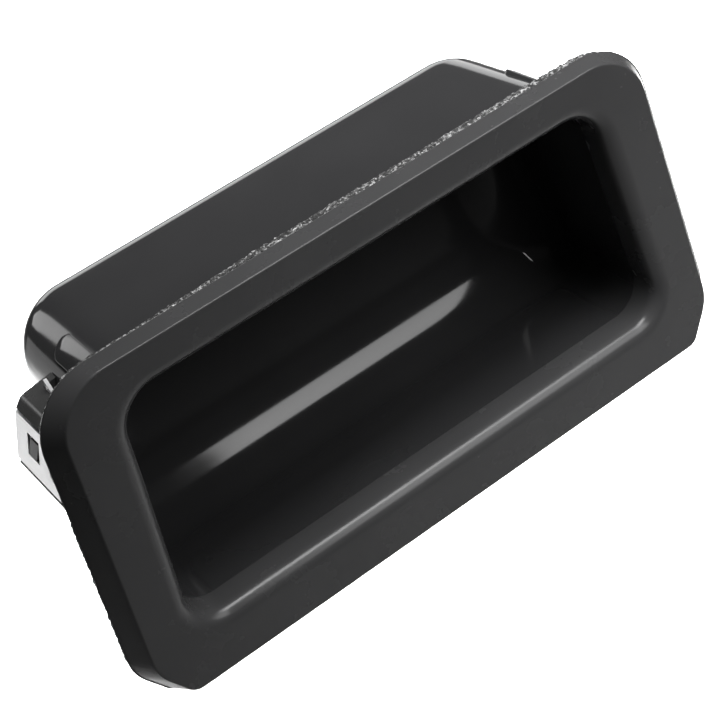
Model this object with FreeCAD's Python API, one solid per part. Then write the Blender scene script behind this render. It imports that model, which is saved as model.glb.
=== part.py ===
"""Recessed pull-cup handle for a vehicle door or tailgate trim panel.

Frame: millimetres, +X along the handle's length, +Y into the panel, +Z up.
The origin is the centre of the flange on its seat plane (y = 0), where the back
rim of the bezel's skirt lies. The visible face is at y = -SKIRT_DEPTH and the
pocket reaches into the panel at positive y.

Pieces: a moulded bezel, a moulded cup that sleeves over the bezel's collar, a
foam gasket in two lengths on the bezel's rim, and on each side a clip carrier
that holds a spring-steel clip (a fixed base and a leaf that flexes).
"""
import FreeCAD, Part
import math
import os

from FreeCAD import Vector

# ---- driving dimensions (mm) ------------------------------------------------
# Flange: a symmetric trapezoid, wider at the bottom. Half widths are at z = 0,
# and LEAN is how much a side moves outwards per millimetre downwards.
FACE_HALF = 70.0
FACE_TOP = 37.4
FACE_BOTTOM = -37.6
FACE_LEAN = 0.0773
FACE_TOP_RADIUS = 12.5
CORNER_CUT_RISE = 9.1
CORNER_CUT_RUN = 6.3
CORNER_CUT_RADII = (11.0, 3.0)
# How much the corner cuts and top corner radii shrink per millimetre of inset.
CUT_SHRINK = 0.4
RADIUS_SHRINK = 0.7
SKIRT_DEPTH = 5.0
SKIRT_SIDE_FLARE = 3.4
SKIRT_TOP_FLARE = 0.5
SKIRT_WALL = 3.0
FACE_THICKNESS = 2.6

# Mouth of the recess, at its narrowest, behind the rolled edge.
THROAT_HALF = 58.5
THROAT_TOP = 28.6
THROAT_BOTTOM = -25.0
THROAT_LEAN = 0.10
THROAT_RADII = (8.5, 7.0)
MOUTH_ROLL = 3.4
COLLAR_WALL = 2.4
COLLAR_END = 3.0

# Cup: a box with generously rounded edges, a sleeve over the collar in front.
# CUP_BACK is where the back wall would meet the top if the edge were sharp. The
# back leans: its lower end is further forward, so the fingers curl round the lip.
CUP_WALL = 2.4
CUP_BACK = 49.2
CUP_BACK_LEAN = 9.0
CUP_BACK_HALF = 62.4
CUP_BACK_TOP = 32.3
CUP_BACK_BOTTOM = -31.2
CUP_EDGE_RADIUS = 13.0
CUP_CORNER_RADIUS = 14.0
POCKET_EDGE_RADIUS = 12.0
POCKET_CORNER_RADIUS = 14.0
SLEEVE_CLEARANCE = 0.05

# Raised guide pads on the cup's upper shoulders.
PAD_WIDTH = 6.0
PAD_LENGTH = 24.0
PAD_HEIGHT = 4.0
PAD_RAISE = 0.8
PAD_TILT = 38.0
PAD_START = 0.6
PAD_SHIFT = (-1.0, 0.6)
PAD_SLOT = (0.7, 2.4, 0.6)
PAD_SLOT_SIDE = 1.0
PAD_SLOT_FROM_END = 8.0

# Foam gasket on the skirt's rim.
GASKET_THICKNESS = 2.4
GASKET_WIDTH = 2.6
GASKET_INSET = 0.2
GASKET_BREAK = (10.6, 27.0)

# Clip carriers, one on each side. Section points are (distance from the
# middle plane, height), from the inner top corner round the outside.
CARRIER_FRONT = 0.4
CARRIER_BACK = 22.0
CARRIER_SECTION = (
    (57.0, 26.3), (66.3, 25.2), (68.2, 23.4), (67.5, 22.9),
    (69.5, 12.9), (72.2, 12.9), (72.2, 12.1), (57.0, 11.6),
)
CARRIER_ROUND = 2.0
CARRIER_FIT = 0.10
CARRIER_FOOT = (60.5, 66.0, 13.6, 24.0)

# Spring clip, 0.7 mm steel.
STEEL = 0.7
LEAF_HINGE = (68.4, 23.4)
LEAF_LEAN = 21.0
LEAF_DEPTH = 10.3
LEAF_BACK = 22.0
LEAF_FRONT = 6.3
LEAF_TOE = 1.2
WINDOW = (10.9, 16.3, 2.5, 7.0)
BASE_HEIGHT = 22.2
BASE_SPAN = (61.4, 67.6)
BASE_FRONT = 6.6
BASE_BACK = 21.7
TAB_FRONT = 15.2
TAB_BACK = 19.2
TAB_TOP = 28.4
TAB_POINT = 3.2
TAB_HOLE_HALF = 1.1
TAB_HOLE_TOP = 1.2
SLOT_PLAY = 0.12
SLIT_PLAY = 0.4
SLOT_REACH = 3.0
BARB_PLAY = (0.7, 0.9)

# Cutting tools reach this far, past everything else.
FAR = 100.0

OUT = "parts"


# ---- outlines ---------------------------------------------------------------
def rounded_wire(corners, radii, y):
    """Closed wire in the plane at y, with each corner (x, z) rounded to its radius."""
    pts = [Vector(x, y, z) for x, z in corners]
    count = len(pts)
    starts, mids, ends = [], [], []
    for i, radius in enumerate(radii):
        here = pts[i]
        before = (pts[i - 1] - here).normalize()
        after = (pts[(i + 1) % count] - here).normalize()
        half_angle = before.getAngle(after) / 2
        reach = radius / math.tan(half_angle)
        bisector = (before + after).normalize()
        centre_distance = radius / math.sin(half_angle)
        starts.append(here + before * reach)
        mids.append(here + bisector * (centre_distance - radius))
        ends.append(here + after * reach)
    edges = []
    for i in range(count):
        edges.append(Part.Arc(starts[i], mids[i], ends[i]).toShape())
        edges.append(Part.LineSegment(ends[i], starts[(i + 1) % count]).toShape())
    return Part.Wire(edges)


def trapezoid(half, lean, top, bottom):
    """Corners of a symmetric trapezoid, from the top left, clockwise from the front."""
    at_top = half - lean * top
    at_bottom = half - lean * bottom
    return [(-at_top, top), (at_top, top), (at_bottom, bottom), (-at_bottom, bottom)]


def flange_wire(y, side_flare, top_flare, inset=0.0):
    """Outline of the flange: rounded top corners, cut bottom corners."""
    half = FACE_HALF + side_flare - inset
    top = FACE_TOP + top_flare - inset
    bottom = FACE_BOTTOM + inset
    top_left, top_right, low_right, low_left = trapezoid(half, FACE_LEAN, top, bottom)
    rise = CORNER_CUT_RISE - CUT_SHRINK * inset
    run = CORNER_CUT_RUN - CUT_SHRINK * inset
    cut_side = low_right[0] - FACE_LEAN * rise
    corners = [
        top_left, top_right,
        (cut_side, bottom + rise), (low_right[0] - run, bottom),
        (low_left[0] + run, bottom), (-cut_side, bottom + rise),
    ]
    top_radius = FACE_TOP_RADIUS + side_flare / 2 - RADIUS_SHRINK * inset
    wide, tight = CORNER_CUT_RADII
    return rounded_wire(corners, [top_radius, top_radius, wide, tight, tight, wide], y)


def throat_wire(y, grow):
    """Outline of the recess's throat, grown outwards by a wall."""
    corners = trapezoid(THROAT_HALF + grow, THROAT_LEAN, THROAT_TOP + grow, THROAT_BOTTOM - grow)
    top_radius, bottom_radius = (radius + grow for radius in THROAT_RADII)
    return rounded_wire(corners, [top_radius, top_radius, bottom_radius, bottom_radius], y)


def back_wire(y, inset, radius):
    """Outline of the cup's back end, moved inwards by a wall and leaned."""
    top = CUP_BACK_TOP - inset
    corners = trapezoid(CUP_BACK_HALF - inset, THROAT_LEAN, top, CUP_BACK_BOTTOM + inset)
    wire = rounded_wire(corners, [radius] * 4, y)
    wire.rotate(Vector(0, y, top), Vector(1, 0, 0), -CUP_BACK_LEAN)
    return wire


def loft(first, second):
    """Straight-sided solid between two outlines."""
    return Part.makeLoft([first, second], True, True)


def round_back_edges(solid, y, inset, radius):
    """Round the edges that lie in the leaning plane whose top is at y."""
    lean = math.radians(CUP_BACK_LEAN)
    top = Vector(0, y, CUP_BACK_TOP - inset)
    normal = Vector(0, math.cos(lean), -math.sin(lean))
    edges = [edge for edge in solid.Edges
             if all(abs((vertex.Point - top).dot(normal)) < 1e-4 for vertex in edge.Vertexes)]
    return solid.makeFillet(radius, edges)


def prism(points, y_front, y_back):
    """Solid with an (x, z) section, between two planes across Y."""
    ring = [Vector(x, y_front, z) for x, z in points]
    wire = Part.makePolygon(ring + ring[:1])
    return Part.Face(wire).extrude(Vector(0, y_back - y_front, 0))


def block(x0, x1, y0, y1, z0, z1):
    return Part.makeBox(x1 - x0, y1 - y0, z1 - z0, Vector(x0, y0, z0))


def mirrored(shape):
    """The same piece for the other side of the handle."""
    return shape.mirror(Vector(0, 0, 0), Vector(1, 0, 0))


# ---- bezel ------------------------------------------------------------------
def make_bezel():
    """Face plate with a flared skirt behind it, and a collar round the mouth."""
    face_y = -SKIRT_DEPTH
    back_of_face = face_y + FACE_THICKNESS
    body = loft(flange_wire(face_y, 0, 0), flange_wire(0, SKIRT_SIDE_FLARE, SKIRT_TOP_FLARE))
    share = FACE_THICKNESS / SKIRT_DEPTH
    hollow = loft(
        flange_wire(back_of_face, SKIRT_SIDE_FLARE * share, SKIRT_TOP_FLARE * share, SKIRT_WALL),
        flange_wire(0.01, SKIRT_SIDE_FLARE, SKIRT_TOP_FLARE, SKIRT_WALL),
    )
    collar = loft(throat_wire(back_of_face - 0.1, COLLAR_WALL), throat_wire(COLLAR_END, COLLAR_WALL))
    throat = loft(throat_wire(face_y - 1, 0), throat_wire(COLLAR_END + 1, 0))
    solid = body.cut(hollow).fuse(collar).removeSplitter().cut(throat)
    widest = THROAT_HALF - THROAT_LEAN * THROAT_BOTTOM + 1
    mouth_edges = [
        edge for edge in solid.Edges
        if all(abs(v.Y - face_y) < 1e-4 and abs(v.X) < widest
               and THROAT_BOTTOM - 1 < v.Z < THROAT_TOP + 1 for v in edge.Vertexes)
    ]
    return solid.makeFillet(MOUTH_ROLL, mouth_edges)


# ---- cup --------------------------------------------------------------------
def cup_envelope(grow=0.0):
    """Outside of the cup as a solid, optionally grown for clearance."""
    front = throat_wire(-SKIRT_DEPTH + FACE_THICKNESS, COLLAR_WALL + CUP_WALL + grow)
    back = back_wire(CUP_BACK + grow, -grow, CUP_CORNER_RADIUS + grow)
    return round_back_edges(loft(front, back), CUP_BACK + grow, -grow, CUP_EDGE_RADIUS + grow)


def guide_pad():
    """Raised pad with a round back end and a small vent slot, on the left shoulder."""
    radius = PAD_WIDTH / 2
    front = -SKIRT_DEPTH + FACE_THICKNESS + PAD_START
    straight = PAD_LENGTH - radius
    pad = Part.makeBox(PAD_WIDTH, straight, PAD_HEIGHT, Vector(-radius, 0, -PAD_HEIGHT))
    end = Part.makeCylinder(radius, PAD_HEIGHT, Vector(0, straight, -PAD_HEIGHT))
    pad = pad.fuse(end).removeSplitter()
    slot = Part.makeBox(*PAD_SLOT, Vector(PAD_SLOT_SIDE, straight - PAD_SLOT_FROM_END, -PAD_SLOT[2]))
    pad = pad.cut(slot)
    pad.rotate(Vector(0, 0, 0), Vector(0, 1, 0), -PAD_TILT)
    # The pad's top plane lies PAD_RAISE above the shoulder's round edge.
    tilt = math.radians(PAD_TILT)
    shift_x, shift_z = PAD_SHIFT
    centre_x = -(CUP_BACK_HALF - THROAT_LEAN * CUP_BACK_TOP) + CUP_EDGE_RADIUS + shift_x
    centre_z = CUP_BACK_TOP - CUP_EDGE_RADIUS + shift_z
    reach = CUP_EDGE_RADIUS + PAD_RAISE
    pad.translate(Vector(centre_x - reach * math.sin(tilt), front, centre_z + reach * math.cos(tilt)))
    return pad


def make_cup():
    """Deep pocket with a front sleeve that fits round the bezel's collar."""
    back = CUP_BACK - CUP_WALL
    pocket = loft(throat_wire(COLLAR_END, 0), back_wire(back, CUP_WALL, POCKET_CORNER_RADIUS))
    pocket = round_back_edges(pocket, back, CUP_WALL, POCKET_EDGE_RADIUS)
    sleeve = loft(throat_wire(-SKIRT_DEPTH, COLLAR_WALL + SLEEVE_CLEARANCE),
                  throat_wire(COLLAR_END, COLLAR_WALL + SLEEVE_CLEARANCE))
    pad = guide_pad()
    outside = cup_envelope().fuse([pad, mirrored(pad)]).removeSplitter()
    return outside.cut(pocket.fuse(sleeve))


# ---- gasket -----------------------------------------------------------------
def make_gaskets():
    """Foam strips on the skirt's rim: one over the top, one round the bottom.

    They stop short of each other at the sides, where the clip carriers pass.
    """
    flare = (SKIRT_SIDE_FLARE, SKIRT_TOP_FLARE)
    inset = GASKET_INSET + GASKET_WIDTH
    outer = loft(flange_wire(0, *flare, GASKET_INSET),
                 flange_wire(GASKET_THICKNESS, *flare, GASKET_INSET))
    inner = loft(flange_wire(-0.1, *flare, inset),
                 flange_wire(GASKET_THICKNESS + 0.1, *flare, inset))
    ring = outer.cut(inner)
    gap_low, gap_high = GASKET_BREAK
    upper = ring.common(block(-FAR, FAR, -FAR, FAR, gap_high, FAR))
    lower = ring.common(block(-FAR, FAR, -FAR, FAR, -FAR, gap_low))
    return upper, lower


# ---- clip carrier -----------------------------------------------------------
def make_carrier():
    """Left clip carrier: a block beside the cup with a slot for the steel clip."""
    section = [(-x, z) for x, z in CARRIER_SECTION]
    body = prism(section, CARRIER_FRONT, CARRIER_BACK)
    long_edges = [
        edge for edge in body.Edges
        if all(abs(v.X + CARRIER_SECTION[1][0]) < 1e-4 for v in edge.Vertexes)
    ]
    body = body.makeFillet(CARRIER_ROUND, long_edges)
    inner, outer, low, high = CARRIER_FOOT
    foot = block(-outer, -inner, -SKIRT_DEPTH + FACE_THICKNESS, CARRIER_FRONT, low, high)
    barb = make_barb()
    body = body.fuse([foot, barb]).removeSplitter()
    body = body.cut(cup_envelope(CARRIER_FIT))
    # Slot for the clip's base, open at the back end, and the slit for its tab.
    inner_x = -BASE_SPAN[0] + SLOT_REACH
    slot = block(-BASE_SPAN[1] - SLOT_REACH, inner_x, BASE_FRONT - SLOT_PLAY, FAR,
                 BASE_HEIGHT - SLOT_PLAY, BASE_HEIGHT + STEEL + SLOT_PLAY)
    slit = block(-BASE_SPAN[0] - STEEL - SLOT_PLAY, inner_x,
                 TAB_FRONT - SLIT_PLAY, TAB_BACK + SLIT_PLAY, BASE_HEIGHT, FAR)
    return body.cut(slot.fuse(slit))


def leaf_direction():
    """Unit vector down the left leaf's slope, in X and Z."""
    lean = math.radians(LEAF_LEAN)
    return Vector(-math.sin(lean), 0, -math.cos(lean))


def make_barb():
    """Ramp on the carrier that stands in the leaf's window."""
    front, back, upper, lower = WINDOW
    down = leaf_direction()
    outward = Vector(down.z, 0, -down.x)
    hinge = Vector(-LEAF_HINGE[0], 0, LEAF_HINGE[1])
    points = []
    for depth, proud in ((upper + 0.9, -0.2), (lower - 0.5, 0.25), (lower - 0.4, -3.5), (upper + 0.9, -3.0)):
        point = hinge + down * depth + outward * proud
        points.append((point.x, point.z))
    return prism(points, front + BARB_PLAY[0], back - BARB_PLAY[1])


# ---- spring clip ------------------------------------------------------------
def make_leaf():
    """Left spring leaf: a leaning steel plate with a window and a rounded front."""
    front, back, upper, lower = WINDOW
    outline = [
        (LEAF_BACK, 0.35), (LEAF_BACK, LEAF_DEPTH), (LEAF_TOE, LEAF_DEPTH),
        (3.2, 8.2), (5.6, 7.4), (LEAF_FRONT, 6.4), (LEAF_FRONT, 2.6), (7.3, 1.1), (9.4, 0.35),
    ]
    ring = [Vector(-depth, y, 0) for y, depth in outline]
    plate = Part.Face(Part.makePolygon(ring + ring[:1])).extrude(Vector(0, 0, -STEEL))
    window = block(-lower, -upper, front, back, -2 * STEEL, STEEL)
    plate = plate.cut(window)
    # The flat plate lies along -X; it turns down about the hinge edge.
    plate.rotate(Vector(0, 0, 0), Vector(0, 1, 0), -(90.0 - LEAF_LEAN))
    plate.translate(Vector(-LEAF_HINGE[0], 0, LEAF_HINGE[1]))
    return plate


def make_base():
    """Left clip base: a flat web in the carrier's slot with a pierced tab."""
    inner, outer = BASE_SPAN
    web = block(-outer, -inner, BASE_FRONT, BASE_BACK, BASE_HEIGHT, BASE_HEIGHT + STEEL)
    mid = (TAB_FRONT + TAB_BACK) / 2
    tab_x = -inner - STEEL
    shoulder = TAB_TOP - TAB_POINT
    tab_ring = [Vector(tab_x, TAB_FRONT, BASE_HEIGHT), Vector(tab_x, TAB_BACK, BASE_HEIGHT),
                Vector(tab_x, TAB_BACK, shoulder), Vector(tab_x, mid, TAB_TOP),
                Vector(tab_x, TAB_FRONT, shoulder)]
    tab = Part.Face(Part.makePolygon(tab_ring + tab_ring[:1])).extrude(Vector(STEEL, 0, 0))
    hole_ring = [Vector(tab_x, mid - TAB_HOLE_HALF, shoulder),
                 Vector(tab_x, mid + TAB_HOLE_HALF, shoulder),
                 Vector(tab_x, mid, TAB_TOP - TAB_HOLE_TOP)]
    hole = Part.Face(Part.makePolygon(hole_ring + hole_ring[:1])).extrude(Vector(STEEL, 0, 0))
    return web.fuse(tab).removeSplitter().cut(hole)


# ---- the assembly -----------------------------------------------------------
def main():
    left_carrier = make_carrier()
    left_base = make_base()
    left_leaf = make_leaf()
    upper_gasket, lower_gasket = make_gaskets()
    nodes = {
        "bezel": make_bezel(),
        "cup": make_cup(),
        "upper_gasket": upper_gasket,
        "lower_gasket": lower_gasket,
        "left_clip_carrier": left_carrier,
        "right_clip_carrier": mirrored(left_carrier),
        "left_clip_base": left_base,
        "right_clip_base": mirrored(left_base),
        "left_clip_leaf": left_leaf,
        "right_clip_leaf": mirrored(left_leaf),
    }
    os.makedirs(OUT, exist_ok=True)
    for name, shape in nodes.items():
        box = shape.BoundBox
        print(name, "valid", shape.isValid(), "solids", len(shape.Solids),
              "volume", round(shape.Volume, 1),
              [round(v, 1) for v in (box.XMin, box.XMax, box.YMin, box.YMax, box.ZMin, box.ZMax)])
        shape.exportStep(os.path.join(OUT, name + ".step"))


main()
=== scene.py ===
import math

import bmesh
import bpy
from mathutils import Matrix, Vector, noise


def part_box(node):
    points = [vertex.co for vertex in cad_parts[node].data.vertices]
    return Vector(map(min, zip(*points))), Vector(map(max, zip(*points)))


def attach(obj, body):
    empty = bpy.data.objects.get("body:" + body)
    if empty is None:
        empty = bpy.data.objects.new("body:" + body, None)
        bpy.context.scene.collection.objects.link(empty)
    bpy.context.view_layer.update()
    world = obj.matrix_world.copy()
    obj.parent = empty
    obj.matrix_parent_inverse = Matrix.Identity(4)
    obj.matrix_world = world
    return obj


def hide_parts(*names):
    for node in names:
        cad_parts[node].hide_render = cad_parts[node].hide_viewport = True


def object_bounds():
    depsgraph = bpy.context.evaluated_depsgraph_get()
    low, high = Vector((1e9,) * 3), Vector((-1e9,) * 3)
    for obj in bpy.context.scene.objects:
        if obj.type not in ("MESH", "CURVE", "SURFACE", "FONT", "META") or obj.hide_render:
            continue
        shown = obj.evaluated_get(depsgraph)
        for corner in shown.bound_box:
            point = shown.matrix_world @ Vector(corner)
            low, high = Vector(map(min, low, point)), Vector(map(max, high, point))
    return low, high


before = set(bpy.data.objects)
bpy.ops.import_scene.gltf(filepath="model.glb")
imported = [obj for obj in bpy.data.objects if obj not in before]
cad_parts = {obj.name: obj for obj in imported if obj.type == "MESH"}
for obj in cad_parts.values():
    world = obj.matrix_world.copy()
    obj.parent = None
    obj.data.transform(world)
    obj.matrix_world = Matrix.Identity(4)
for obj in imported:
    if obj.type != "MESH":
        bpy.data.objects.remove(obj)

CAD_LOW, CAD_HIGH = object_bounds()
MM = 0.001

# ---- sizes in millimetres, the CAD design's unless a comment says otherwise --
FACE_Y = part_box("bezel")[0].y / MM
COLLAR_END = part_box("bezel")[1].y / MM
FACE_THICKNESS = 2.6
SKIRT_WALL = 3.0
SIDE_FLARE = 3.4
TOP_FLARE = 0.5
FACE_HALF, FACE_LEAN = 70.0, 0.0773
FACE_TOP, FACE_BOTTOM = 37.4, -37.6
FACE_TOP_RADIUS = 12.5
CUT_RISE, CUT_RUN, CUT_RADII = 9.1, 6.3, (11.0, 3.0)
CUT_SHRINK, RADIUS_SHRINK = 0.4, 0.7
THROAT_HALF, THROAT_LEAN = 58.5, 0.10
THROAT_TOP, THROAT_BOTTOM = 28.6, -25.0
THROAT_RADII = (8.5, 7.0)
MOUTH_ROLL = 3.4
COLLAR_WALL = 2.4
CUP_WALL = 2.4
BACK_HALF, BACK_TOP, BACK_BOTTOM = 62.4, 32.3, -30.4
CUP_EDGE = 13.0
CUP_CORNER = 14.0
# A little shallower than the CAD's, so that the mesh stays inside the CAD cup.
CUP_BACK, CUP_BACK_LEAN = 48.9, 9.0
# The pocket's own inner radii, chosen for the reflections in the photograph.
POCKET_EDGE = 16.0
POCKET_CORNER = 8.0
MITRE_RADIUS = 1.2
# Small edge radii, breaks and joint clearances that only the meshes have.
CREASE_RADIUS, RIM_ROUND = 0.30, 0.35
EDGE_BREAK, SLEEVE_BREAK = 0.3, 0.2
JOINT_GAP, POCKET_GAP = 0.05, 0.02
# The crease slides this share of the skirt's flare outwards, and the skirt's
# straight part ends this share of the way to its rim.
CREASE_SLIDE, SKIRT_END = 0.05, 0.93
CAP_SHARES = (0.97, 0.8, 0.6, 0.4, 0.2)

GASKET_THICKNESS, GASKET_WIDTH, GASKET_INSET = 2.4, 2.6, 0.2
GASKET_BREAK = (10.6, 27.0)
BEYOND_RIM = 60.0
PAD_WIDTH, PAD_LENGTH, PAD_HEIGHT = 6.0, 24.0, 4.0
PAD_RAISE, PAD_TILT, PAD_EDGE = 0.8, 38.0, 0.35
PAD_OUT, PAD_UP = 1.0, 0.6

# ---- how finely curves are divided ------------------------------------------
CORNER_STEPS = 22
LONG_STEPS = 60
SIDE_STEPS = 30
WALL_STEPS = 8
EDGE_STEPS = 20
ROLL_STEPS = 14
CREASE_STEPS = 5
RIM_STEPS = 4
PAD_STEPS = 24
SECTION_STEPS = 14


# ---- outlines ---------------------------------------------------------------
class Outline:
    """A closed outline in X and Z, as points with outward normals.

    Every outline has the same number of points, corner for corner, so any two
    can be bridged or blended point by point.
    """

    def __init__(self, points, normals):
        self.points = points
        self.normals = normals

    def ring(self, y, offset=0.0):
        """3-D points of this outline at depth y, moved outwards by offset."""
        ring = []
        for (x, z), (nx, nz) in zip(self.points, self.normals):
            ring.append(Vector((x + nx * offset, y, z + nz * offset)))
        return ring

    def mixed(self, other, share):
        """The outline a share of the way to another one."""
        points, normals = [], []
        for p, q, n, m in zip(self.points, other.points, self.normals, other.normals):
            points.append((p[0] + (q[0] - p[0]) * share, p[1] + (q[1] - p[1]) * share))
            mix = Vector((n[0] + (m[0] - n[0]) * share, n[1] + (m[1] - n[1]) * share))
            normals.append(tuple(mix.normalized()))
        return Outline(points, normals)


def rounded_corner(before, here, after, radius):
    """Start, centre and turn of the arc that rounds one corner."""
    a = (before - here).normalized()
    b = (after - here).normalized()
    half = math.acos(max(-1.0, min(1.0, a.dot(b)))) / 2
    reach = radius / math.tan(half)
    centre = here + (a + b).normalized() * (radius / math.sin(half))
    return here + a * reach, centre, math.pi - 2 * half


def arc_samples(start, centre, turn, count):
    """Points and outward normals along a clockwise arc, both ends included."""
    out = []
    spoke = start - centre
    for i in range(count + 1):
        angle = -turn * i / count
        c, s = math.cos(angle), math.sin(angle)
        turned = Vector((spoke.x * c - spoke.y * s, spoke.x * s + spoke.y * c))
        out.append((centre + turned, turned.normalized()))
    return out


def build_outline(corner_groups):
    """Outline from four groups of (point, radius) corners, clockwise from the top left."""
    flat = [(Vector(p), r) for group in corner_groups for p, r in group]
    total = len(flat)
    sampled, index = [], 0
    for group in corner_groups:
        samples = []
        share = CORNER_STEPS // len(group)
        for _ in group:
            here, radius = flat[index]
            start, centre, turn = rounded_corner(
                flat[index - 1][0], here, flat[(index + 1) % total][0], radius)
            samples += arc_samples(start, centre, turn, share - (1 if len(group) > 1 else 0))
            index += 1
        while len(samples) < CORNER_STEPS + 1:
            samples.append(samples[-1])
        sampled.append(samples)
    points, normals = [], []
    steps = (LONG_STEPS, SIDE_STEPS, LONG_STEPS, SIDE_STEPS)
    for side in range(4):
        corner = sampled[side]
        following = sampled[(side + 1) % 4]
        for point, normal in corner:
            points.append(tuple(point))
            normals.append(tuple(normal))
        first, last = corner[-1], following[0]
        for i in range(1, steps[side]):
            share = i / steps[side]
            points.append(tuple(first[0].lerp(last[0], share)))
            normals.append(tuple(first[1].lerp(last[1], share).normalized()))
    return Outline(points, normals)


def trapezoid_outline(half, lean, top, bottom, top_radius, bottom_radius):
    """Rounded trapezoid; half is its half width at Z = 0, lean how fast it narrows upwards."""
    at_top, at_bottom = half - lean * top, half - lean * bottom
    return build_outline([
        [((-at_top, top), top_radius)], [((at_top, top), top_radius)],
        [((at_bottom, bottom), bottom_radius)], [((-at_bottom, bottom), bottom_radius)],
    ])


def flange_outline(side_flare, top_flare, inset=0.0):
    """The flange's outline, with cut lower corners, flared out or inset from the face's edge."""
    half = FACE_HALF + side_flare - inset
    top, bottom = FACE_TOP + top_flare - inset, FACE_BOTTOM + inset
    at_top, at_bottom = half - FACE_LEAN * top, half - FACE_LEAN * bottom
    rise, run = CUT_RISE - CUT_SHRINK * inset, CUT_RUN - CUT_SHRINK * inset
    cut_side = at_bottom - FACE_LEAN * rise
    radius = FACE_TOP_RADIUS + side_flare / 2 - RADIUS_SHRINK * inset
    wide, tight = CUT_RADII
    return build_outline([
        [((-at_top, top), radius)], [((at_top, top), radius)],
        [((cut_side, bottom + rise), wide), ((at_bottom - run, bottom), tight)],
        [((-at_bottom + run, bottom), tight), ((-cut_side, bottom + rise), wide)],
    ])


def throat_outline(grow=0.0):
    """The throat's outline, grown outwards; it remembers by how much."""
    top_radius, bottom_radius = THROAT_RADII
    outline = trapezoid_outline(THROAT_HALF + grow, THROAT_LEAN, THROAT_TOP + grow,
                                THROAT_BOTTOM - grow, top_radius + grow, bottom_radius + grow)
    outline.grown = grow
    return outline


# ---- mesh helpers -----------------------------------------------------------
def mesh_object(name, verts, faces, smooth=True):
    """Mesh object from millimetre points, with consistent outward normals."""
    mesh = bpy.data.meshes.new(name)
    mesh.from_pydata([tuple(Vector(v) * MM) for v in verts], [], faces)
    bm = bmesh.new()
    bm.from_mesh(mesh)
    bmesh.ops.remove_doubles(bm, verts=bm.verts, dist=1e-7)
    bmesh.ops.recalc_face_normals(bm, faces=bm.faces)
    bm.to_mesh(mesh)
    bm.free()
    for polygon in mesh.polygons:
        polygon.use_smooth = smooth
    obj = bpy.data.objects.new(name, mesh)
    bpy.context.scene.collection.objects.link(obj)
    return obj


def bridge_rings(rings, closed=False):
    """Vertices and quads of a tube through rings of equal length."""
    count = len(rings[0])
    verts = [v for ring in rings for v in ring]
    faces = []
    bands = len(rings) if closed else len(rings) - 1
    for band in range(bands):
        a = band * count
        b = ((band + 1) % len(rings)) * count
        for i in range(count):
            j = (i + 1) % count
            faces.append((a + i, a + j, b + j, b + i))
    return verts, faces


def cap(faces, first, count):
    """Close a ring of vertices with one flat face."""
    faces.append(tuple(range(first, first + count)))


def crease_sharp(obj, degrees):
    """Shade smooth, except over edges sharper than this."""
    limit = math.radians(degrees)
    bm = bmesh.new()
    bm.from_mesh(obj.data)
    for edge in bm.edges:
        if len(edge.link_faces) == 2 and edge.calc_face_angle(0.0) > limit:
            edge.smooth = False
    bm.to_mesh(obj.data)
    bm.free()


def finish_piece(obj, body, material, nodes=()):
    """Give a piece its material and body, and hide the CAD nodes that it replaces."""
    obj.data.materials.clear()
    obj.data.materials.append(material)
    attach(obj, body)
    if nodes:
        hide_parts(*nodes)
    return obj


# ---- materials --------------------------------------------------------------
def new_material(name, color, roughness, specular=0.5):
    """Material with a Principled shader; returns it with its node tree and shader."""
    mat = bpy.data.materials.new(name)
    mat.use_nodes = True
    tree = mat.node_tree
    shader = tree.nodes["Principled BSDF"]
    shader.inputs["Base Color"].default_value = (*color, 1.0)
    shader.inputs["Roughness"].default_value = roughness
    shader.inputs["Specular IOR Level"].default_value = specular
    return mat, tree, shader


def object_coordinates(tree, scale):
    """The object's own coordinates in metres, scaled along each axis."""
    coords = tree.nodes.new("ShaderNodeTexCoord")
    mapping = tree.nodes.new("ShaderNodeMapping")
    mapping.inputs["Scale"].default_value = scale
    tree.links.new(coords.outputs["Object"], mapping.inputs["Vector"])
    return mapping.outputs["Vector"]


def noise_value(tree, vector, scale, detail=2.0, roughness=0.5):
    """Noise from 0 to 1, with scale as features per metre."""
    node = tree.nodes.new("ShaderNodeTexNoise")
    node.inputs["Scale"].default_value = scale
    node.inputs["Detail"].default_value = detail
    node.inputs["Roughness"].default_value = roughness
    tree.links.new(vector, node.inputs["Vector"])
    return node.outputs["Fac"]


def ramp(tree, value, low, high, from_low=0.3, from_high=0.7):
    """Colour from a 0 to 1 value, spread between two grey or colour ends."""
    node = tree.nodes.new("ShaderNodeValToRGB")
    node.color_ramp.elements[0].position = from_low
    node.color_ramp.elements[0].color = (*low, 1.0)
    node.color_ramp.elements[1].position = from_high
    node.color_ramp.elements[1].color = (*high, 1.0)
    tree.links.new(value, node.inputs["Fac"])
    return node.outputs["Color"]


def spread(tree, value, low, high):
    """Map a 0 to 1 value onto low to high."""
    node = tree.nodes.new("ShaderNodeMapRange")
    node.inputs["From Min"].default_value = 0.3
    node.inputs["From Max"].default_value = 0.7
    node.inputs["To Min"].default_value = low
    node.inputs["To Max"].default_value = high
    tree.links.new(value, node.inputs["Value"])
    return node.outputs["Result"]


def bump(tree, shader, height, strength, distance_mm):
    """Small relief on the shader's normal."""
    node = tree.nodes.new("ShaderNodeBump")
    node.inputs["Strength"].default_value = strength
    node.inputs["Distance"].default_value = distance_mm * MM
    tree.links.new(height, node.inputs["Height"])
    tree.links.new(node.outputs["Normal"], shader.inputs["Normal"])


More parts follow.
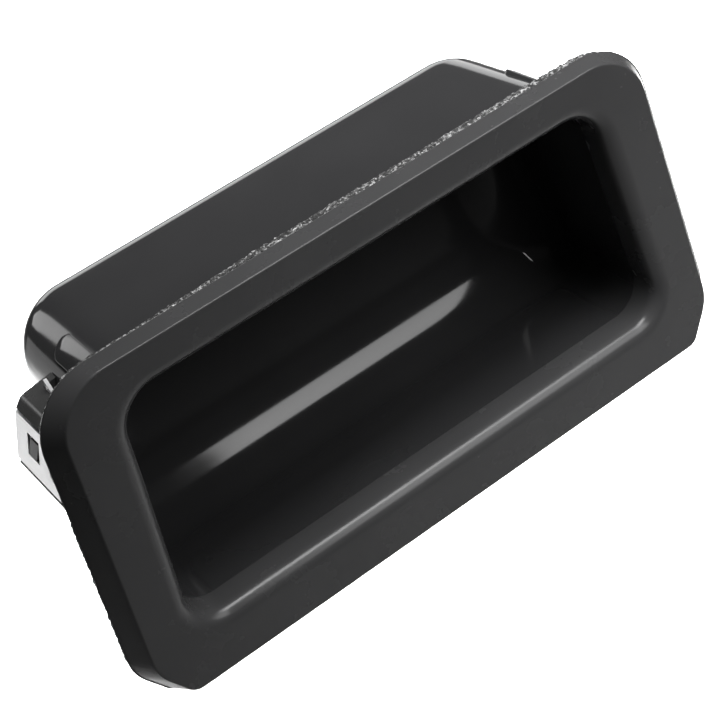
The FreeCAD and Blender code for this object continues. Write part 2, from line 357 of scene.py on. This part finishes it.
def moulded_plastic(name, dark, light, rough_low, rough_high, grain_mm, grain_strength, specular):
    """Black moulded plastic: fine spark-erosion grain, faint flow marks and uneven gloss."""
    mat, tree, shader = new_material(name, dark, rough_low, specular)
    vector = object_coordinates(tree, (1.0, 1.0, 1.0))
    cloud = noise_value(tree, vector, 45.0, 3.0)
    tree.links.new(ramp(tree, cloud, dark, light), shader.inputs["Base Color"])
    patch = noise_value(tree, vector, 90.0, 4.0, 0.6)
    tree.links.new(spread(tree, patch, rough_low, rough_high), shader.inputs["Roughness"])
    grain = noise_value(tree, vector, 1.0 / (grain_mm * MM), 3.0, 0.6)
    bump(tree, shader, grain, grain_strength, 0.02)
    return mat


def foam_material():
    """Cut foam: dark cell walls with pale torn specks."""
    mat, tree, shader = new_material("cut_foam", (0.06, 0.06, 0.06), 0.9, 0.3)
    vector = object_coordinates(tree, (1.0, 1.0, 1.0))
    cells = tree.nodes.new("ShaderNodeTexVoronoi")
    cells.inputs["Scale"].default_value = 1700.0
    tree.links.new(vector, cells.inputs["Vector"])
    specks = noise_value(tree, vector, 1500.0, 3.0, 0.75)
    color = ramp(tree, specks, (0.012, 0.012, 0.012), (0.34, 0.34, 0.34), 0.50, 0.70)
    tree.links.new(color, shader.inputs["Base Color"])
    bump(tree, shader, cells.outputs["Distance"], 0.9, 0.25)
    return mat


def steel_material():
    """Bright plated spring steel with fine rolling lines along its length."""
    mat, tree, shader = new_material("plated_spring_steel", (0.62, 0.62, 0.62), 0.32)
    shader.inputs["Metallic"].default_value = 1.0
    vector = object_coordinates(tree, (1.0, 0.04, 1.0))
    lines = noise_value(tree, vector, 5200.0, 2.0, 0.5)
    color = ramp(tree, lines, (0.56, 0.56, 0.565), (0.68, 0.68, 0.68))
    tree.links.new(color, shader.inputs["Base Color"])
    tree.links.new(spread(tree, lines, 0.30, 0.42), shader.inputs["Roughness"])
    bump(tree, shader, lines, 0.15, 0.01)
    return mat


def floor_material():
    """Plain pale floor, very slightly clouded."""
    mat, tree, shader = new_material("pale_floor", (0.55, 0.55, 0.55), 0.8, 0.2)
    vector = object_coordinates(tree, (1.0, 1.0, 1.0))
    cloud = noise_value(tree, vector, 6.0)
    color = ramp(tree, cloud, (0.545, 0.545, 0.545), (0.555, 0.555, 0.555))
    tree.links.new(color, shader.inputs["Base Color"])
    return mat


BEZEL_PLASTIC = moulded_plastic(
    "satin_black_plastic", dark=(0.025, 0.025, 0.0255), light=(0.028, 0.028, 0.0285),
    rough_low=0.24, rough_high=0.29, grain_mm=0.12, grain_strength=0.03, specular=0.17)
CUP_PLASTIC = moulded_plastic(
    "semi_gloss_black_plastic", dark=(0.015, 0.015, 0.0155), light=(0.017, 0.017, 0.0175),
    rough_low=0.08, rough_high=0.11, grain_mm=0.20, grain_strength=0.01, specular=0.25)
CARRIER_PLASTIC = moulded_plastic(
    "matt_black_plastic", dark=(0.020, 0.020, 0.020), light=(0.025, 0.025, 0.025),
    rough_low=0.22, rough_high=0.30, grain_mm=0.15, grain_strength=0.05, specular=0.35)
FOAM = foam_material()
STEEL_MATERIAL = steel_material()


# ---- bezel ------------------------------------------------------------------
def make_bezel():
    """Face, crease, flared skirt, rim, hollow back, collar and rolled mouth in one skin."""
    face_edge = flange_outline(0.0, 0.0)
    rim_edge = flange_outline(SIDE_FLARE, TOP_FLARE)
    rim_inner = flange_outline(SIDE_FLARE, TOP_FLARE, SKIRT_WALL)
    back_of_face = FACE_Y + FACE_THICKNESS
    share = FACE_THICKNESS / -FACE_Y
    hollow = flange_outline(SIDE_FLARE * share, TOP_FLARE * share, SKIRT_WALL)
    # Throat wall from the collar's end forwards, then the roll out to the face.
    throat = throat_outline()
    rings = [throat.ring(COLLAR_END - JOINT_GAP)]
    wall_end = COLLAR_END - EDGE_BREAK
    roll_start = FACE_Y + MOUTH_ROLL
    for i in range(5):
        rings.append(throat.ring(wall_end + (roll_start - wall_end) * i / 4))
    for i in range(1, ROLL_STEPS + 1):
        angle = math.pi / 2 * i / ROLL_STEPS
        rings.append(throat.ring(roll_start - MOUTH_ROLL * math.sin(angle),
                                 MOUTH_ROLL * (1 - math.cos(angle))))
    # Flat face out to the crease.
    mouth_edge = throat_outline(MOUTH_ROLL)
    inner_crease = flange_outline(0.0, 0.0, CREASE_RADIUS)
    for share_out in (0.04, 0.2, 0.5, 0.8, 0.96):
        rings.append(mouth_edge.mixed(inner_crease, share_out).ring(FACE_Y))
    # Crease, a small rounded edge, then the skirt to its rim.
    for i in range(CREASE_STEPS + 1):
        angle = math.pi / 2 * i / CREASE_STEPS
        slide = CREASE_SLIDE * (1 - math.cos(angle))
        rings.append(face_edge.mixed(rim_edge, slide).ring(
            FACE_Y + CREASE_RADIUS * (1 - math.cos(angle)), -CREASE_RADIUS * (1 - math.sin(angle))))
    crease_share = CREASE_RADIUS / -FACE_Y
    for i in range(1, WALL_STEPS + 1):
        along = crease_share + (1 - crease_share) * i / WALL_STEPS * SKIRT_END
        rings.append(face_edge.mixed(rim_edge, along).ring(FACE_Y * (1 - along)))
    for i in range(RIM_STEPS + 1):
        angle = math.pi / 2 * i / RIM_STEPS
        rings.append(rim_edge.ring(-RIM_ROUND * (1 - math.sin(angle)),
                                   -RIM_ROUND * (1 - math.cos(angle))))
    # Inside of the skirt, back of the face and outside of the collar.
    rings.append(rim_inner.ring(0.0, EDGE_BREAK))
    rings.append(rim_inner.ring(-EDGE_BREAK))
    rings.append(hollow.ring(back_of_face - JOINT_GAP))
    rings.append(hollow.ring(back_of_face, -EDGE_BREAK))
    collar = throat_outline(COLLAR_WALL)
    rings.append(collar.ring(back_of_face, EDGE_BREAK))
    rings.append(collar.ring(back_of_face + EDGE_BREAK))
    rings.append(collar.ring(COLLAR_END - SLEEVE_BREAK))
    rings.append(collar.ring(COLLAR_END - JOINT_GAP, -SLEEVE_BREAK))
    verts, faces = bridge_rings(rings, closed=True)
    obj = mesh_object("bezel_shell", verts, faces)
    crease_sharp(obj, 50)
    return finish_piece(obj, "handle", BEZEL_PLASTIC, ["bezel"])


# ---- cup --------------------------------------------------------------------
def edge_rings(front, wall, corner, y_front, y_back, radius):
    """Rings along a wall, then round its back edge with the given radius.

    wall is how far the outline lies inside the cup's outside, and corner the
    radius that its upright corners would have at the very back.
    """
    rings = []
    depth = y_back - y_front
    for i in range(WALL_STEPS + 1):
        y = y_front + (depth - radius) * i / WALL_STEPS
        rings.append(wall_ring(front, wall, 0.0, corner, (y - y_front) / depth).ring(y))
    for i in range(1, EDGE_STEPS + 1):
        angle = math.pi / 2 * i / EDGE_STEPS
        y = y_back - radius + radius * math.sin(angle)
        inset = radius * (1 - math.cos(angle))
        rings.append(wall_ring(front, wall, inset, corner, (y - y_front) / depth).ring(y))
    return rings


def wall_ring(front, wall, inset, corner, share):
    """Outline a share of the way from the front to the back end, inset, with tighter corners."""
    half_front = THROAT_HALF + front.grown
    top_front, bottom_front = THROAT_TOP + front.grown, THROAT_BOTTOM - front.grown
    half = half_front + (BACK_HALF - wall - half_front) * share
    top = top_front + (BACK_TOP - wall - top_front) * share
    bottom = bottom_front + (BACK_BOTTOM + wall - bottom_front) * share
    radii = []
    for radius in THROAT_RADII:
        here = radius + front.grown + (corner - radius - front.grown) * share
        radii.append(max(here - inset, MITRE_RADIUS))
    return trapezoid_outline(half - inset, THROAT_LEAN, top - inset, bottom + inset, *radii)


def lean_back(rings, y_front):
    """Lean the rings' rear ends, so the lower end of the back wall comes forward."""
    slope = math.tan(math.radians(CUP_BACK_LEAN))
    for ring in rings:
        for v in ring:
            share = max(0.0, (v.y - y_front) / (CUP_BACK - y_front))
            v.y -= slope * (BACK_TOP - v.z) * share
    return rings


def shrink_rings(ring):
    """Smaller copies of a flat ring about its centre."""
    centre = sum(ring, Vector()) / len(ring)
    return [[centre + (v - centre) * share for v in ring] for share in CAP_SHARES]


def make_cup():
    """Outer and inner walls of the pocket, joined round the sleeve's front rim."""
    sleeve_front = FACE_Y + FACE_THICKNESS
    outer_front = throat_outline(COLLAR_WALL + CUP_WALL)
    outer = edge_rings(outer_front, 0.0, CUP_CORNER, sleeve_front + EDGE_BREAK, CUP_BACK, CUP_EDGE)
    outer.insert(0, outer_front.ring(sleeve_front, -EDGE_BREAK))
    outer += shrink_rings(outer[-1])
    lean_back(outer, sleeve_front)
    pocket_front = COLLAR_END + POCKET_GAP
    inner = edge_rings(throat_outline(), CUP_WALL, POCKET_CORNER, pocket_front,
                       CUP_BACK - CUP_WALL, POCKET_EDGE)
    inner += shrink_rings(inner[-1])
    lean_back(inner, COLLAR_END)
    sleeve = throat_outline(COLLAR_WALL + JOINT_GAP)
    joint = [sleeve.ring(sleeve_front, SLEEVE_BREAK), sleeve.ring(sleeve_front + SLEEVE_BREAK),
             sleeve.ring(pocket_front)]
    rings = list(reversed(outer)) + joint + inner
    verts, faces = bridge_rings(rings)
    count = len(rings[0])
    cap(faces, 0, count)
    cap(faces, (len(rings) - 1) * count, count)
    obj = mesh_object("cup_shell", verts, faces)
    crease_sharp(obj, 40)
    return finish_piece(obj, "handle", CUP_PLASTIC, ["cup"])


# ---- foam gasket ------------------------------------------------------------
def rough(v, scale, seed):
    """Repeatable noise from about -1 to 1 at a point in millimetres."""
    return noise.noise(Vector((v.x * scale + seed, v.y * scale, v.z * scale - seed)))


def rim_path(low, high, step):
    """Points and outward normals along the skirt's rim where Z is within limits.

    The walk starts in the half of the rim that the strip isn't in, so that the
    strip comes out in one run.
    """
    outline = flange_outline(SIDE_FLARE, TOP_FLARE, GASKET_INSET)
    count = len(outline.points)
    start = LONG_STEPS // 2
    if low > 0:
        start += count // 2 + CORNER_STEPS
    else:
        start += CORNER_STEPS // 2
    path, travelled = [], 0.0
    for i in range(count):
        a, b = (start + i) % count, (start + i + 1) % count
        p, q = Vector(outline.points[a]), Vector(outline.points[b])
        n, m = Vector(outline.normals[a]), Vector(outline.normals[b])
        length = (q - p).length
        while travelled < length:
            share = travelled / length
            point = p.lerp(q, share)
            if low <= point.y <= high:
                path.append((point, n.lerp(m, share).normalized()))
            travelled += step
        travelled -= length
    return path


def torn_section(point, normal, thick):
    """One squarish ring of the strip's section, roughened most on its outer side."""
    ring = []
    outward = Vector((normal.x, 0.0, normal.y))
    for i in range(SECTION_STEPS):
        angle = 2 * math.pi * (i + 0.5) / SECTION_STEPS
        across, deep = math.cos(angle), math.sin(angle)
        square = max(abs(across), abs(deep)) ** 0.7
        depth = GASKET_THICKNESS * thick * (0.5 + 0.49 * deep / square)
        out = GASKET_WIDTH / 2 * (0.96 * across / square - 1)
        v = Vector((point.x + normal.x * out, depth, point.y + normal.y * out))
        free = 0.25 + 0.75 * max(0.0, across)
        bite = 0.30 * rough(v, 1.1, 3.1) + 0.22 * rough(v, 2.6, 9.7)
        v += outward * min(0.15, bite * free)
        lift = 0.30 * rough(v, 1.9, 5.3) * thick
        v.y = min(GASKET_THICKNESS, max(0.0, v.y + lift))
        ring.append(v)
    return ring


def make_gasket(name, node, low, high, step, thickness_at):
    """Torn-edged foam strip: a closed section swept along the rim, thinner at its ends."""
    path = rim_path(low, high, step)
    rings = []
    for k, (point, normal) in enumerate(path):
        to_end = min(k, len(path) - 1 - k) * step
        taper = min(1.0, 0.25 + to_end / 4.0)
        rings.append(torn_section(point, normal, thickness_at(point.x) * taper))
    verts, faces = bridge_rings(rings)
    cap(faces, 0, SECTION_STEPS)
    cap(faces, (len(rings) - 1) * SECTION_STEPS, SECTION_STEPS)
    obj = mesh_object(name, verts, faces, smooth=False)
    return finish_piece(obj, "handle", FOAM, [node])


def upper_thickness(x):
    """Full in the middle of the top, pressed thin towards the left and the corners."""
    rise = min(1.0, max(0.0, (x + 50.0) / 30.0))
    fall = min(1.0, max(0.0, (66.0 - x) / 12.0))
    return 0.35 + 0.65 * min(rise, fall)


def lower_thickness(x):
    """Nearly full all the way round the bottom."""
    return 0.9


# ---- guide pads -------------------------------------------------------------
def make_guide_pad(side):
    """Raised pad with a round rear end, lying on the cup's upper shoulder."""
    half = PAD_WIDTH / 2
    straight = PAD_LENGTH - half
    outline = [(-half, 0.0), (half, 0.0)]
    for i in range(PAD_STEPS + 1):
        angle = math.pi * i / PAD_STEPS
        outline.append((half * math.cos(angle), straight + half * math.sin(angle)))
    # From the foot, sunk in the cup, up to the rounded edge of the pad's top.
    levels = ((0.0, -PAD_HEIGHT), (0.0, -PAD_EDGE), (PAD_EDGE * 0.3, -PAD_EDGE * 0.3), (PAD_EDGE, 0.0))
    rings = []
    for inset, height in levels:
        ring = []
        for u, w in outline:
            inward = Vector((-u, min(0.0, straight - w))).normalized()
            ring.append(Vector((u + inward.x * inset, w + inward.y * inset, height)))
        rings.append(ring)
    verts, faces = bridge_rings(rings)
    count = len(outline)
    cap(faces, 0, count)
    cap(faces, (len(levels) - 1) * count, count)
    # The shoulder's centre, where the cup is a little wider and taller than at its back.
    centre_x = -(BACK_HALF - THROAT_LEAN * BACK_TOP) + CUP_EDGE - PAD_OUT
    centre_z = BACK_TOP + PAD_UP - CUP_EDGE
    front = FACE_Y + FACE_THICKNESS + 2 * EDGE_BREAK
    reach = CUP_EDGE + PAD_RAISE
    tilt = math.radians(PAD_TILT)
    turn = Matrix.Rotation(-tilt, 3, "Y")
    origin = Vector((centre_x - reach * math.sin(tilt), front, centre_z + reach * math.cos(tilt)))
    mirror = 1 if side == "left" else -1
    placed = []
    for v in verts:
        p = turn @ v + origin
        placed.append(Vector((p.x * mirror, p.y, p.z)))
    obj = mesh_object(side + "_guide_pad", placed, faces)
    crease_sharp(obj, 35)
    return finish_piece(obj, "handle", CUP_PLASTIC)


make_bezel()
make_cup()
make_gasket("upper_gasket_foam", "upper_gasket", GASKET_BREAK[1], BEYOND_RIM, 0.22, upper_thickness)
make_gasket("lower_gasket_foam", "lower_gasket", -BEYOND_RIM, GASKET_BREAK[0], 0.4, lower_thickness)
for side in ("left", "right"):
    make_guide_pad(side)


# ---- carried-over CAD nodes -------------------------------------------------
def paint(node, material):
    """Give a CAD node its material."""
    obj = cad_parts[node]
    obj.data.materials.clear()
    obj.data.materials.append(material)


def round_edges(node, width):
    """Small moulding radius on a carried-over piece's sharp edges."""
    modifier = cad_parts[node].modifiers.new("moulding_radius", "BEVEL")
    modifier.width = width * MM
    modifier.segments = 3
    modifier.limit_method = "ANGLE"
    modifier.angle_limit = math.radians(35)


for side in ("left", "right"):
    paint(side + "_clip_carrier", CARRIER_PLASTIC)
    round_edges(side + "_clip_carrier", 0.7)
    paint(side + "_clip_base", STEEL_MATERIAL)
    paint(side + "_clip_leaf", STEEL_MATERIAL)


# ---- stage, light and camera ------------------------------------------------
FLOOR_HALF, FLOOR_DROP = 4000.0, 112.0
STUDIO_STRENGTH = 0.065

# Name, place, aim point, width, height, watts, spread in degrees; lengths in mm.
SOFTBOXES = (
    ("key_softbox", (171, -194, 224), (171, 20, -10), 256, 215, 0.90, 124),
    ("overhead_softbox", (110, -62, 330), (110, -62, 0), 300, 110, 0.92, 90),
    ("back_left_softbox", (-186, 390, 172), (-60, 25, 25), 75, 150, 0.12, 180),
    ("low_left_softbox", (-253, 241, -44), (-70, 12, 18), 200, 150, 0.075, 180),
    ("rear_softbox", (450, 1400, 200), (0, 30, 30), 1300, 420, 4.0, 180),
    ("floor_wash", (150, 420, 700), (150, 420, 0), 460, 460, 14.0, 42),
)

CAMERA_PLACE, CAMERA_AIM = (-112.6, -254.5, 191.9), (-8.0, 0.0, 5.1)
CAMERA_ROLL, CAMERA_LENS = -20.0, 85.0


def make_stage():
    """Plain pale floor, well below the handle."""
    depth = CAD_LOW.z / MM - FLOOR_DROP
    corners = ((-1, -1), (1, -1), (1, 1), (-1, 1))
    verts = [(FLOOR_HALF * x, FLOOR_HALF * y, depth) for x, y in corners]
    floor = mesh_object("floor", verts, [(0, 1, 2, 3)], smooth=False)
    floor.data.materials.append(floor_material())


def area_light(name, location, target, size, size_y, energy, spread):
    """Rectangular softbox that lights and reflects but isn't seen itself."""
    light = bpy.data.lights.new(name, "AREA")
    light.shape = "RECTANGLE"
    light.size, light.size_y = size * MM, size_y * MM
    light.energy = energy
    light.spread = math.radians(spread)
    obj = bpy.data.objects.new(name, light)
    obj.location = Vector(location) * MM
    direction = (Vector(target) - Vector(location)).normalized()
    obj.rotation_euler = direction.to_track_quat("-Z", "Y").to_euler()
    obj.visible_camera = False
    bpy.context.scene.collection.objects.link(obj)
    return obj


def make_world(strength):
    """Even dim surround, so that the black plastic keeps its depth."""
    world = bpy.data.worlds.new("studio")
    world.use_nodes = True
    background = world.node_tree.nodes["Background"]
    background.inputs["Color"].default_value = (1.0, 1.0, 1.0, 1.0)
    background.inputs["Strength"].default_value = strength
    bpy.context.scene.world = world


def make_camera():
    """Camera in front, above and to the left of the handle, rolled to set it on a slant."""
    data = bpy.data.cameras.new("camera")
    data.sensor_width = 36.0
    data.lens = CAMERA_LENS
    camera = bpy.data.objects.new("camera", data)
    bpy.context.scene.collection.objects.link(camera)
    target = Vector(CAMERA_AIM) * MM
    location = Vector(CAMERA_PLACE) * MM
    roll = math.radians(CAMERA_ROLL)
    look = (target - location).to_track_quat("-Z", "Y")
    camera.matrix_world = (Matrix.Translation(location) @ look.to_matrix().to_4x4()
                           @ Matrix.Rotation(roll, 4, "Z"))
    data.clip_start, data.clip_end = 0.01, 50.0
    bpy.context.scene.camera = camera


make_stage()
make_world(STUDIO_STRENGTH)
for softbox in SOFTBOXES:
    area_light(*softbox)
make_camera()
bpy.context.scene.view_settings.view_transform = "Standard"
